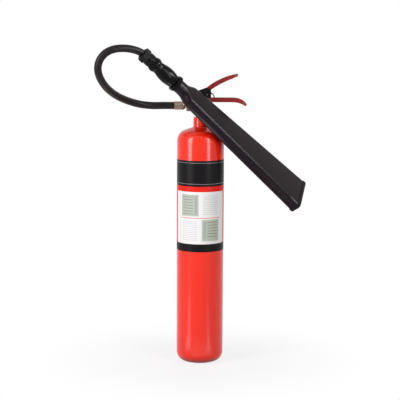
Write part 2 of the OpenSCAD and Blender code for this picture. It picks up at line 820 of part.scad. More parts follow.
// Outside of the horn's flaring bell and its rolled lip
module bell_outside() {
  lip_full_w = horn_mouth_w + 2 * lip_w;
  lip_full_t = horn_mouth_t + 2 * lip_w;
  hull() {
    horn_slice(horn_shoulder_end, horn_root_w, horn_root_t, horn_root_corner_r);
    horn_slice(horn_length - lip_start, horn_mouth_w, horn_mouth_t, horn_corner_r);
  }
  hull() {
    horn_slice(horn_length - lip_start, horn_mouth_w, horn_mouth_t, horn_corner_r);
    horn_slice(horn_length - lip_full, lip_full_w, lip_full_t, horn_corner_r + lip_w);
    horn_slice(horn_length - slice_t, lip_full_w, lip_full_t, horn_corner_r + lip_w);
  }
}

// The horn's hollow, from the end of the round throat to past the mouth
module horn_hollow() {
  walls = 2 * horn_wall;
  root_corner = horn_root_corner_r - horn_wall;
  hull() {
    round_slice(hollow_start, throat_bore_r + throat_step);
    horn_slice(horn_shoulder_end, horn_root_w - walls, horn_root_t - walls, root_corner);
  }
  hull() {
    horn_slice(horn_shoulder_end, horn_root_w - walls, horn_root_t - walls, root_corner);
    horn_slice(horn_length + cut, horn_mouth_w - walls, horn_mouth_t - walls, horn_corner_r - horn_wall);
  }
}

// The four walls of the bell, clear of the shoulder
module bell() {
  difference() {
    bell_outside();
    horn_hollow();
    translate([-60, -60, 0]) cube([120, 120, horn_shoulder_end + bell_gap]);
  }
}

// Room of one broad plate: between the corners of the bell, on one side of its axis
module plate_room(side) {
  near_half = horn_root_w / 2 - horn_root_corner_r - plate_inset;
  far_half = horn_mouth_w / 2 - horn_corner_r - plate_inset;
  room_t = 60;
  hull() {
    translate([min(side, 0) * room_t, -near_half, horn_shoulder_end]) cube([room_t, 2 * near_half, slice_t]);
    translate([min(side, 0) * room_t, -far_half, horn_length + cut]) cube([room_t, 2 * far_half, slice_t]);
  }
}

module horn_throat() {
  color("#2f2b2d") on_grip() difference() {
    union() {
      translate([0, 0, collar_seat + 0.1]) cylinder(r = spigot_r, h = collar_end - collar_seat + 2);
      on_horn() throat_outside();
    }
    cylinder(r = throat_bore_r, h = collar_end + hollow_start + 2);
    on_horn() horn_hollow();
  }
}

// One broad plate of the bell: the top one for side -1, the under one for side 1
module horn_plate(side) {
  color("#332f31") on_grip() on_horn() intersection() {
    bell();
    plate_room(side);
  }
}

// One narrow side of the bell with its two corners: the front one, or the back one after half a turn
module horn_side(turn) {
  color("#2b2729") on_grip() on_horn() rotate([0, 0, turn]) difference() {
    bell();
    plate_room(-1);
    plate_room(1);
    translate([-60, 0, 0]) cube([120, 120, horn_length + 2 * cut]);
  }
}

bottle();
label();
dip_tube();
siphon_adapter();
neck_seal();
valve_body();
burst_disc();
burst_disc_plug();
gland_nut();
gland_seal();
valve_stem();
valve_poppet();
poppet_seal();
valve_spring();
carry_handle();
handle_rivets();
lever_pivot_pin();
operating_lever();
safety_pin();
pull_ring();
union_nut();
hose_washer();
hose_tail();
valve_end_ferrule();
hose();
horn_end_ferrule();
horn_end_tail();
grip_nut();
horn_grip();
horn_collar();
discharge_pipe();
discharge_jet();
horn_throat();
horn_plate(-1);  // horn_top_plate
horn_plate(1);  // horn_under_plate
horn_side(0);  // horn_front_side
horn_side(180);  // horn_back_side
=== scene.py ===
"""Looks of a portable carbon dioxide fire extinguisher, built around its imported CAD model.

Lengths are in metres, in the CAD model's frame: +Z runs up the bottle from the centre of its foot, the levers
point to +X, the hose leaves the valve to -X and the horn hangs in front of the bottle, at -Y.
"""

import functools
import logging
import math
import operator
from dataclasses import dataclass, field
from enum import Enum
from typing import Any, ClassVar, Iterable, Mapping, Optional, Sequence, Union

import bpy
from mathutils import Matrix, Vector


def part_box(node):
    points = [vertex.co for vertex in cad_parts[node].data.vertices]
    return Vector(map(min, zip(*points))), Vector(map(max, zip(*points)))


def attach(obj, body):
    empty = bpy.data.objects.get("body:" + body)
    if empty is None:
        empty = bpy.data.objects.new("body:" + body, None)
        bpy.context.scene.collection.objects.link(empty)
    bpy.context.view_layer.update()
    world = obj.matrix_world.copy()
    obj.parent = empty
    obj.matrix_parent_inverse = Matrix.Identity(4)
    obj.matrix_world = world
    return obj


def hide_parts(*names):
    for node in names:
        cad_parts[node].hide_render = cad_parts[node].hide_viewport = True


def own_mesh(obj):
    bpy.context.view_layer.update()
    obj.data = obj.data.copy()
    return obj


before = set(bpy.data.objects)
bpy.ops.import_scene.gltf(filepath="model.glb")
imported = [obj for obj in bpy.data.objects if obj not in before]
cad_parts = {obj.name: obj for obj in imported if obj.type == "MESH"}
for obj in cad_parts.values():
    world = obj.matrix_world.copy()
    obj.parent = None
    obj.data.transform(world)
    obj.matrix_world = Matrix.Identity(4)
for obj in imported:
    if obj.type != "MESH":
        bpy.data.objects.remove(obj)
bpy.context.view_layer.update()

LOG = logging.getLogger("extinguisher")

Colour = tuple[float, float, float]
Point = tuple[float, float, float]
Station = tuple[float, ...]
Term = Union["Sock", float]
Ring = list[Vector]

WHITE: Colour = (1.0, 1.0, 1.0)

# An edge's mask starts and is full at these cosines of the eased surface's turn.
EDGE_STARTS = 0.99
EDGE_FULL = 0.86
EDGE_SAMPLES = 6


class Slot(Enum):
    """Material slots of the record that the scene's own pieces use."""

    HOSE = "hose_rubber"
    HORN = "horn_plastic"
    BRASS = "brass"
    STEEL = "steel"


class Body(Enum):
    """CAD bodies that the scene's own pieces ride on."""

    BOTTLE = "extinguisher"
    HOSE = "hose_and_horn"


class Glow(Enum):
    """What a lamp gives: light that is mirrored too, light that isn't mirrored, or a mirror image only."""

    FULL = "full"
    FILL = "fill"
    GLINT = "glint"


class Sock:
    """A shader socket that takes part in arithmetic: each operator adds one Math node."""

    def __init__(self, graph: "Graph", socket: bpy.types.NodeSocket) -> None:
        """Keeps an output socket and the graph that it belongs to."""
        self.graph = graph
        self.socket = socket

    def __add__(self, other: Term) -> "Sock":
        """Sum of the two values."""
        return self.graph.math("ADD", self, other)

    def __radd__(self, other: Term) -> "Sock":
        """Sum of the two values."""
        return self.graph.math("ADD", other, self)

    def __sub__(self, other: Term) -> "Sock":
        """This value less the other."""
        return self.graph.math("SUBTRACT", self, other)

    def __rsub__(self, other: Term) -> "Sock":
        """The other value less this one."""
        return self.graph.math("SUBTRACT", other, self)

    def __mul__(self, other: Term) -> "Sock":
        """Product of the two values."""
        return self.graph.math("MULTIPLY", self, other)

    def __rmul__(self, other: Term) -> "Sock":
        """Product of the two values."""
        return self.graph.math("MULTIPLY", other, self)

    def __neg__(self) -> "Sock":
        """This value with its sign turned."""
        return self.graph.math("MULTIPLY", self, -1.0)

    def __or__(self, other: Term) -> "Sock":
        """The greater of two masks."""
        return self.graph.math("MAXIMUM", self, other)


class Graph:
    """The nodes of one material, light surface or world."""

    def __init__(self, tree: bpy.types.NodeTree) -> None:
        """Starts from an empty node tree."""
        self.tree = tree
        tree.nodes.clear()

    def add(self, kind: str, settings: Optional[Mapping[str, Any]] = None,
            inputs: Optional[Mapping[Any, Any]] = None) -> bpy.types.Node:
        """Adds a node.

        Args:
            kind: The node's type.
            settings: Properties of the node, set before its sockets.
            inputs: Values or links by the socket's name or number.

        Returns:
            The new node.
        """
        node = self.tree.nodes.new(kind)
        for name, value in (settings or {}).items():
            setattr(node, name, value)
        for name, value in (inputs or {}).items():
            if isinstance(value, Sock):
                self.tree.links.new(value.socket, node.inputs[name])
            else:
                node.inputs[name].default_value = value
        return node

    def out(self, node: bpy.types.Node, name: Union[str, int] = 0) -> Sock:
        """Output of a node, ready for arithmetic."""
        return Sock(self, node.outputs[name])

    def math(self, operation: str, *terms: Term) -> Sock:
        """Adds a Math node for one operation on values."""
        return self.out(self.add("ShaderNodeMath", {"operation": operation}, dict(enumerate(terms))))

    def vector(self, operation: str, *terms: Any) -> Sock:
        """Adds a Vector Math node for one operation on vectors."""
        return self.out(self.add("ShaderNodeVectorMath", {"operation": operation}, dict(enumerate(terms))))

    def place(self) -> Sock:
        """Position on the piece, in metres in the CAD frame at rest."""
        return self.out(self.add("ShaderNodeTexCoord"), "Object")

    def split(self, vector: Sock) -> tuple[Sock, Sock, Sock]:
        """The three parts of a vector."""
        node = self.add("ShaderNodeSeparateXYZ", inputs={0: vector})
        return self.out(node, 0), self.out(node, 1), self.out(node, 2)

    def noise(self, vector: Sock, scale: float, detail: float = 2.0, roughness: float = 0.5) -> Sock:
        """Soft random pattern, from 0 to 1 about a half.

        Args:
            vector: Where the pattern is read.
            scale: Waves per metre.
            detail: How many finer layers are added.
            roughness: Strength of the finer layers.

        Returns:
            The pattern's value.
        """
        settings = {"noise_dimensions": "3D"}
        inputs = {"Vector": vector, "Scale": scale, "Detail": detail, "Roughness": roughness}
        return self.out(self.add("ShaderNodeTexNoise", settings, inputs), 0)

    def cells(self, vector: Sock, scale: float) -> Sock:
        """Distance to the nearest of scattered points, in cell widths."""
        return self.out(self.add("ShaderNodeTexVoronoi", inputs={"Vector": vector, "Scale": scale}), 0)

    def rise(self, value: Term, low: float, high: float) -> Sock:
        """Smooth step from 0 at low to 1 at high; a low above high gives a fall."""
        limits = dict(enumerate((value, *sorted((low, high)), float(low > high), float(low <= high))))
        return self.out(self.add("ShaderNodeMapRange", {"interpolation_type": "SMOOTHSTEP"}, limits))

    @staticmethod
    def cover(masks: Iterable[Sock]) -> Sock:
        """One mask that covers what any of the masks covers."""
        return functools.reduce(operator.or_, masks)

    def band(self, value: Sock, low: float, high: float, soft: float) -> Sock:
        """Mask of the values between two limits, with soft ends."""
        return self.rise(value, low - soft, low + soft) * self.rise(value, high + soft, high - soft)

    def blend(self, factor: Term, first: Any, second: Any) -> Sock:
        """Mix of two colours, the second where the factor is 1."""
        inputs = {0: factor, 6: self.colour(first), 7: self.colour(second)}
        return self.out(self.add("ShaderNodeMix", {"data_type": "RGBA"}, inputs), 2)

    @staticmethod
    def colour(value: Any) -> Any:
        """A colour as a socket takes it, with its fourth number."""
        return value if isinstance(value, Sock) else (*value, 1.0)

    def facing(self) -> Sock:
        """The way that the surface faces."""
        return self.out(self.add("ShaderNodeNewGeometry"), "Normal")

    def edges(self, radius: float) -> Sock:
        """Mask of the sharp edges of a piece.

        Args:
            radius: About how wide the mask is.

        Returns:
            The mask, 1 on the edges.
        """
        soft = self.out(self.add("ShaderNodeBevel", {"samples": EDGE_SAMPLES}, {"Radius": radius}))
        both = {0: soft, 1: self.facing()}
        turn = self.out(self.add("ShaderNodeVectorMath", {"operation": "DOT_PRODUCT"}, both), "Value")
        return self.rise(turn, EDGE_STARTS, EDGE_FULL)

    def bump(self, height: Sock, depth: float) -> Sock:
        """Normal of a surface that the height raises by up to the depth, in metres."""
        inputs = {"Height": height, "Distance": depth, "Strength": 1.0}
        return self.out(self.add("ShaderNodeBump", inputs=inputs))

    def principled(self, inputs: Mapping[str, Any]) -> Sock:
        """Principled surface with these sockets set or linked."""
        ready = {**inputs, "Base Color": self.colour(inputs["Base Color"])}
        return self.out(self.add("ShaderNodeBsdfPrincipled", inputs=ready))

    def surface(self, shader: Sock) -> None:
        """Links a shader to the material's output."""
        self.add("ShaderNodeOutputMaterial", inputs={"Surface": shader})


@dataclass(frozen=True)
class Finish:
    """A surface finish, which makes one material."""

    name: str
    colour: Colour
    roughness: float

    def material(self) -> bpy.types.Material:
        """Makes the finish's material at its first use.

        Returns:
            The material.
        """
        ready = bpy.data.materials.get(self.name)
        if ready is not None:
            return ready
        made = bpy.data.materials.new(self.name)
        made.use_nodes = True
        graph = Graph(made.node_tree)
        graph.surface(self.shade(graph))
        return made

    def shade(self, graph: Graph) -> Sock:
        """Builds the finish's nodes in a graph and returns its shader."""
        raise NotImplementedError

    def toned(self, share: float) -> Colour:
        """The finish's colour, made darker or lighter by a share."""
        return tuple(min(1.0, share * part) for part in self.colour)

    def coat(self, piece: bpy.types.Object) -> None:
        """Gives a piece this finish as its only material."""
        piece.data.materials.clear()
        piece.data.materials.append(self.material())


@dataclass(frozen=True)
class GlossEnamel(Finish):
    """Sprayed glossy enamel on steel, with orange peel, faint scuffs and painted shade that darkens the foot and
    its downward faces.
    """

    deep: Colour
    dust: Colour
    # Colour of the painted shade at the foot.
    painted_foot_shade: Colour
    gloss: float = 0.42
    peel_scale: float = 330.0
    peel_depth: float = 0.00004
    scratch_lay: Point = (1.0, 1.0, 0.06)
    # Heights where the painted shade at the foot is full and where it ends.
    painted_shade_full: float = 0.004
    painted_shade_end: float = 0.023
    # Limits of the painted shade on faces that turn down, near the foot.
    under_start: float = -0.15
    under_full: float = -0.80
    under_low: float = 0.035
    under_high: float = 0.050

    def shade(self, graph: Graph) -> Sock:
        """Builds the enamel's nodes.

        Args:
            graph: The material's nodes.

        Returns:
            The enamel's shader.
        """
        place = graph.place()
        height = graph.split(place)[2]
        peel = graph.noise(place, self.peel_scale, detail=1.0)
        sag = graph.noise(place, 7.0, detail=1.0)
        cloud = graph.noise(place, 16.0, detail=4.0, roughness=0.6)
        along = graph.vector("MULTIPLY", place, self.scratch_lay)
        scratch = graph.rise(graph.noise(along, 420.0, roughness=0.7), 0.70, 0.82)
        scuff = graph.rise(graph.noise(place, 55.0, detail=5.0, roughness=0.7), 0.60, 0.78) * 0.35
        # Painted shade: the enamel darkens towards the foot and on the faces that turn down near it.
        below = graph.rise(graph.split(graph.facing())[2], self.under_start, self.under_full)
        under = below * graph.rise(height, self.under_high, self.under_low)
        painted_foot_shade = graph.rise(height + cloud * 0.008, self.painted_shade_end, self.painted_shade_full) | under * 0.8
        tone = graph.blend(cloud * 0.5, self.colour, self.deep)
        tone = graph.blend((scratch | scuff) * 0.12, tone, self.dust)
        # Blends the painted shade in at the foot.
        tone = graph.blend(painted_foot_shade * 0.85, tone, self.painted_foot_shade)
        return graph.principled({
            "Base Color": tone,
            "Roughness": self.roughness + cloud * 0.06 + scuff * 0.2 + scratch * 0.12 + painted_foot_shade * 0.3,
            "Specular IOR Level": self.gloss,
            "Normal": graph.bump(peel * 0.6 + sag * 0.4 - scratch * 0.2, self.peel_depth),
        })


@dataclass(frozen=True)
class Block:
    """A block of the label's print, by its arc and height on the bottle."""

    left: float
    right: float
    low: float
    high: float


@dataclass(frozen=True)
class LabelPrint(Finish):
    """Printed vinyl wrap: plain colour blocks and rules, laid out by arc and height on the bottle."""

    black: Colour
    red: Colour
    panel: Colour
    rule: Colour
    wall_r: float = 0.0708
    edge: float = 0.0002
    ground: Block = Block(-0.0880, 0.0880, 0.3700, 0.5270)
    head_low: float = 0.5430
    panels: Sequence[Block] = (Block(-0.062, -0.005, 0.4540, 0.5190), Block(0.005, 0.062, 0.3790, 0.4440))
    columns: Sequence[Block] = (Block(0.009, 0.060, 0.4560, 0.5170), Block(-0.060, -0.009, 0.3810, 0.4420))
    bars: Sequence[Block] = (Block(-0.056, -0.022, 0.4600, 0.5130), Block(0.022, 0.056, 0.3850, 0.4380))
    margins: Sequence[Block] = (Block(-0.017, -0.010, 0.4600, 0.5130), Block(0.010, 0.017, 0.3850, 0.4380))
    divider: Block = Block(-0.066, 0.066, 0.4478, 0.4494)
    pin_lines: Sequence[float] = (0.6128, 0.5500, 0.3400)
    pin_width: float = 0.0008
    pin_ink: float = 0.5
    line_pitch: float = 0.0056
    line_ink: float = 0.35
    bar_pitch: float = 0.0085
    bar_ink: float = 0.7
    margin_ink: float = 0.5
    gloss: float = 0.09
    fibre_depth: float = 0.00002

    def shade(self, graph: Graph) -> Sock:
        """Builds the print's nodes.

        Args:
            graph: The material's nodes.

        Returns:
            The print's shader.
        """
        place = graph.place()
        x, y, z = graph.split(place)
        arc = graph.math("ARCTAN2", x, -y) * self.wall_r

        def area(block: Block) -> Sock:
            """Mask of one block of the print."""
            across = graph.band(arc, block.left, block.right, self.edge)
            return across * graph.band(z, block.low, block.high, self.edge)

        def areas(blocks: Sequence[Block]) -> Sock:
            """Mask of several blocks of the print."""
            return graph.cover(area(block) for block in blocks)

        def stripes(pitch: float) -> Sock:
            """Mask of level stripes."""
            return graph.rise(graph.math("SINE", z * (2 * math.pi / pitch)), 0.35, 0.70)

        head = graph.rise(z, self.head_low - self.edge, self.head_low + self.edge)
        foot = graph.rise(z, self.ground.low + self.edge, self.ground.low - self.edge)
        bars = areas(self.bars) * stripes(self.bar_pitch)
        pin_lines = graph.cover(graph.band(z, low, low + self.pin_width, self.edge) for low in self.pin_lines)
        tone = graph.blend(area(self.ground), self.red, self.colour)
        tone = graph.blend(areas(self.columns) * stripes(self.line_pitch) * self.line_ink, tone, self.rule)
        tone = graph.blend(areas(self.panels), tone, self.panel)
        tone = graph.blend((bars | areas(self.margins) * self.margin_ink) * self.bar_ink, tone, self.rule)
        tone = graph.blend(area(self.divider), tone, self.red)
        tone = graph.blend(head | foot, tone, self.black)
        tone = graph.blend(pin_lines * self.pin_ink, tone, self.colour)
        fibre = graph.noise(place, 900.0)
        rubbed = graph.rise(graph.noise(place, 70.0, detail=5.0, roughness=0.7), 0.62, 0.80)
        tone = graph.blend(rubbed * 0.08, tone, self.rule)
        return graph.principled({
            "Base Color": tone,
            "Roughness": self.roughness + rubbed * 0.2 + fibre * 0.05,
            "Specular IOR Level": self.gloss,
            "Normal": graph.bump(fibre, self.fibre_depth),
        })


@dataclass(frozen=True)
class PowderCoat(Finish):
    """Baked powder coat with a fine grain, worn through to another colour along sharp edges."""

    worn: Colour
    grain_scale: float = 1500.0
    grain_depth: float = 0.00005
    edge_width: float = 0.0009
    wear: float = 0.6
    gloss: float = 0.5

    def shade(self, graph: Graph) -> Sock:
        """Builds the coat's nodes.

        Args:
            graph: The material's nodes.

        Returns:
            The coat's shader.
        """
        place = graph.place()
        grain = graph.noise(place, self.grain_scale)
        cloud = graph.noise(place, 45.0, detail=4.0, roughness=0.6)
        patch = graph.rise(graph.noise(place, 260.0, detail=4.0, roughness=0.7), 0.42, 0.62)
        edge = graph.edges(self.edge_width) * patch * self.wear
        tone = graph.blend(cloud * 0.4, self.colour, self.toned(0.72))
        tone = graph.blend(edge, tone, self.worn)
        return graph.principled({
            "Base Color": tone,
            "Roughness": self.roughness + cloud * 0.12 + grain * 0.05 - edge * 0.1,
            "Specular IOR Level": self.gloss,
            "Normal": graph.bump(grain + cloud * 0.5, self.grain_depth),
        })


@dataclass(frozen=True)
class TurnedMetal(Finish):
    """Turned metal with lines round one axis and patches of tarnish."""

    tarnish: Colour
    axis: Point = (1.0, 0.05, 0.05)
    dull: float = 0.5
    line_scale: float = 2600.0
    line_depth: float = 0.00002
    edge_width: float = 0.0006

    def shade(self, graph: Graph) -> Sock:
        """Builds the metal's nodes.

        Args:
            graph: The material's nodes.

        Returns:
            The metal's shader.
        """
        place = graph.place()
        lines = graph.noise(graph.vector("MULTIPLY", place, self.axis), self.line_scale, roughness=0.6)
        cloud = graph.noise(place, 90.0, detail=4.0, roughness=0.6)
        spots = graph.rise(graph.noise(place, 400.0, detail=3.0, roughness=0.6), 0.58, 0.72)
        stain = graph.rise(cloud, 0.40, 0.68) * self.dull
        edge = graph.edges(self.edge_width)
        tone = graph.blend(stain | spots * 0.5, self.colour, self.tarnish)
        tone = graph.blend(edge * 0.5, tone, self.toned(1.25))
        return graph.principled({
            "Base Color": tone,
            "Metallic": 1.0 - stain * 0.25,
            "Roughness": self.roughness + stain * 0.2 + lines * 0.10 - edge * 0.08,
            "Normal": graph.bump(lines, self.line_depth),
        })


@dataclass(frozen=True)
class MouldedPlastic(Finish):
    """Moulded plastic with a fine skin texture, flow clouds and scuffed edges."""

    scuff: Colour
    gloss: float = 0.4
    grain_scale: float = 1100.0
    grain_depth: float = 0.00004
    flow_lay: Point = (0.6, 0.6, 2.0)
    edge_width: float = 0.0012

    def shade(self, graph: Graph) -> Sock:
        """Builds the plastic's nodes.

        Args:
            graph: The material's nodes.

        Returns:
            The plastic's shader.
        """
        place = graph.place()
        grain = graph.cells(place, self.grain_scale)
        cloud = graph.noise(place, 22.0, detail=4.0, roughness=0.6)
        flow = graph.noise(graph.vector("MULTIPLY", place, self.flow_lay), 60.0, detail=3.0)
        mark = graph.rise(graph.noise(place, 140.0, detail=5.0, roughness=0.75), 0.62, 0.74)
        edge = graph.edges(self.edge_width) * graph.rise(graph.noise(place, 300.0, detail=3.0), 0.40, 0.60)
        tone = graph.blend(cloud * 0.6, self.colour, self.toned(1.5))
        tone = graph.blend(mark * 0.10 + edge * 0.30, tone, self.scuff)
        return graph.principled({
            "Base Color": tone,
            "Roughness": self.roughness + cloud * 0.10 + mark * 0.08 + edge * 0.08,
            "Specular IOR Level": self.gloss,
            "Normal": graph.bump(grain + flow * 0.6, self.grain_depth),
        })


@dataclass(frozen=True)
class HoseRubber(Finish):
    """Black rubber cover with the print of the wrap that it was cured in, laid along the hose's own map."""

    bloom: Colour
    gloss: float = 0.14
    wraps: float = 70.0
    seam_start: float = 0.46
    seam_end: float = 0.54
    seam_soft: float = 0.03
    print_depth: float = 0.00008

    def shade(self, graph: Graph) -> Sock:
        """Builds the rubber's nodes.

        Args:
            graph: The material's nodes.

        Returns:
            The rubber's shader.
        """
        place = graph.place()
        hose_map = graph.add("ShaderNodeUVMap", {"uv_map": HoseLine.MAP_NAME})
        along, around, _ = graph.split(graph.out(hose_map))
        turn = graph.math("FRACT", along * self.wraps + around)
        seam = graph.band(turn, self.seam_start, self.seam_end, self.seam_soft)
        weave = graph.noise(place, 1600.0)
        cloud = graph.noise(place, 50.0, detail=4.0, roughness=0.6)
        dust = graph.rise(cloud, 0.45, 0.75)
        tone = graph.blend(dust * 0.35, self.colour, self.bloom)
        return graph.principled({
            "Base Color": tone,
            "Roughness": self.roughness + dust * 0.12 + weave * 0.06,
            "Specular IOR Level": self.gloss,
            "Normal": graph.bump(seam * 0.8 + weave * 0.4, self.print_depth),
        })


@dataclass(frozen=True)
class SealStock(Finish):
    """Plain seal rubber or seal plastic with a dusty skin."""

    grain_depth: float = 0.00003

    def shade(self, graph: Graph) -> Sock:
        """Builds the seal's nodes.

        Args:
            graph: The material's nodes.

        Returns:
            The seal's shader.
        """
        place = graph.place()
        cloud = graph.noise(place, 120.0, detail=4.0, roughness=0.6)
        grain = graph.noise(place, 1800.0)
        return graph.principled({
            "Base Color": graph.blend(cloud * 0.5, self.colour, self.toned(0.7)),
            "Roughness": self.roughness + cloud * 0.12,
            "Normal": graph.bump(grain, self.grain_depth),
        })


RED_ENAMEL = GlossEnamel(
    "red_enamel", (0.78, 0.016, 0.002), roughness=0.17,
    # The last colour is the painted shade at the foot.
    deep=(0.69, 0.012, 0.001), dust=(0.70, 0.40, 0.36), painted_foot_shade=(0.10, 0.012, 0.010),
)
LABEL = LabelPrint(
    "printed_wrap", (0.74, 0.72, 0.73), roughness=0.34,
    black=(0.005, 0.004, 0.005), red=(0.68, 0.020, 0.012), panel=(0.42, 0.46, 0.39), rule=(0.18, 0.17, 0.19),
)
LEVER_RED = PowderCoat(
    "lever_red_coat", (0.26, 0.013, 0.012), roughness=0.36,
    worn=(0.26, 0.06, 0.05), wear=0.3, gloss=0.25, grain_depth=0.00002,
)
VALVE_BLACK = PowderCoat(
    "valve_black_coat", (0.005, 0.004, 0.004), roughness=0.38,
    worn=(0.10, 0.08, 0.06), grain_scale=900.0, gloss=0.10,
)
COPPER_BRASS = TurnedMetal(
    "dull_copper_brass", (0.24, 0.175, 0.14), roughness=0.34, tarnish=(0.11, 0.078, 0.064),
)
PLAIN_BRASS = TurnedMetal(
    "plain_brass", (0.62, 0.47, 0.25), roughness=0.30, tarnish=(0.30, 0.21, 0.10), axis=(0.05, 0.05, 1.0),
)
ZINC = TurnedMetal(
    "zinc_steel", (0.56, 0.57, 0.58), roughness=0.30, tarnish=(0.30, 0.30, 0.30), axis=(0.05, 1.0, 0.05),
)
DARK_STEEL = TurnedMetal(
    "dark_steel", (0.09, 0.085, 0.085), roughness=0.36, tarnish=(0.03, 0.028, 0.028), axis=(0.05, 1.0, 0.05),
)
GRIP_BLACK = MouldedPlastic(
    "grip_black_plastic", (0.002, 0.0014, 0.0017), roughness=0.10, scuff=(0.05, 0.045, 0.045), gloss=0.10,
)
NUT_BLACK = MouldedPlastic(
    "nut_black_plastic", (0.006, 0.0045, 0.005), roughness=0.42, scuff=(0.09, 0.08, 0.08), gloss=0.10,
)
HORN_BLACK = MouldedPlastic(
    "horn_black_plastic", (0.0060, 0.0015, 0.0039), roughness=0.23, scuff=(0.07, 0.045, 0.055), gloss=0.125,
)
RING_BLACK = MouldedPlastic(
    "ring_black_plastic", (0.004, 0.0035, 0.004), roughness=0.35, scuff=(0.06, 0.06, 0.06), gloss=0.12,
)
HOSE_BLACK = HoseRubber(
    "hose_black_rubber", (0.010, 0.0065, 0.0072), roughness=0.36, bloom=(0.026, 0.023, 0.023),
)
NITRILE = SealStock("nitrile_rubber", (0.02, 0.02, 0.02), roughness=0.55)
IVORY = SealStock("ivory_seal_plastic", (0.66, 0.64, 0.58), roughness=0.45)


class Mould:
    """Builds meshes from rings of points."""

    @staticmethod
    def piece(name: str, points: Sequence[Vector], faces: Sequence[Sequence[int]],
              crease: float) -> bpy.types.Object:
        """Makes a mesh piece with smooth faces and sharp creases.

        Args:
            name: The piece's name.
            points: Its corners.
            faces: Corner numbers of each face.
            crease: Angle above which an edge stays sharp, in degrees.

        Returns:
            The new object, in the scene.
        """
        mesh = bpy.data.meshes.new(name)
        mesh.from_pydata([tuple(point) for point in points], [], [tuple(face) for face in faces])
        mesh.validate()
        mesh.update()
        mesh.shade_smooth()
        mesh.set_sharp_from_angle(angle=math.radians(crease))
        made = bpy.data.objects.new(name, mesh)
        bpy.context.scene.collection.objects.link(made)
        return made

    @staticmethod
    def band(first: int, second: int, count: int) -> list[tuple[int, int, int, int]]:
        """Faces between two rings of the same count.

        Args:
            first: Number of the first ring's first point.
            second: Number of the second ring's first point.
            count: Points in each ring.

        Returns:
            Corner numbers of each face.
        """
        return [
            (first + k, first + (k + 1) % count, second + (k + 1) % count, second + k)
            for k in range(count)
        ]

    @classmethod
    def loft(cls, name: str, rings: Sequence[Ring], loop: bool, crease: float = 35.0) -> bpy.types.Object:
        """Joins rings of equal count to a closed skin.

        Args:
            name: The piece's name.
            rings: The rings, in order.
            loop: Whether the last ring joins the first; otherwise both ends are capped.
            crease: Angle above which an edge stays sharp, in degrees.

        Returns:
            The new object.
        """
        count = len(rings[0])
        starts = [count * index for index in range(len(rings))]
        faces: list[Sequence[int]] = []
        for first, second in zip(starts, starts[1:] + starts[:1] if loop else starts[1:]):
            faces += cls.band(first, second, count)
        if not loop:
            faces.append(list(range(count))[::-1])
            faces.append([starts[-1] + k for k in range(count)])
        return cls.piece(name, [point for ring in rings for point in ring], faces, crease)


@dataclass
class Assembly:
    """A group of pieces: CAD nodes that get a finish, and pieces made here."""

    finishes: Mapping[str, Finish] = field(default_factory=dict)

    def build(self) -> Iterable[bpy.types.Object]:
        """Makes the assembly's own pieces; a plain group has none."""
        return []

    def dress(self) -> None:
        """Gives each CAD node its finish."""
        for node, finish in self.finishes.items():
            finish.coat(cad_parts[node])
            LOG.info("%s: %s", node, finish.name)

    def make(self) -> None:
        """Builds and dresses the assembly and reports each piece."""
        for piece in self.build():
            LOG.info("%s: made, %d faces", piece.name, len(piece.data.polygons))
        self.dress()


@dataclass
class Bottle(Assembly):
    """The pressure bottle with its label and the tube inside."""

    finishes: Mapping[str, Finish] = field(default_factory=lambda: {
        "bottle": RED_ENAMEL,
        "label": LABEL,
        "dip_tube": ZINC,
        "siphon_adapter": PLAIN_BRASS,
        "neck_seal": NITRILE,
    })


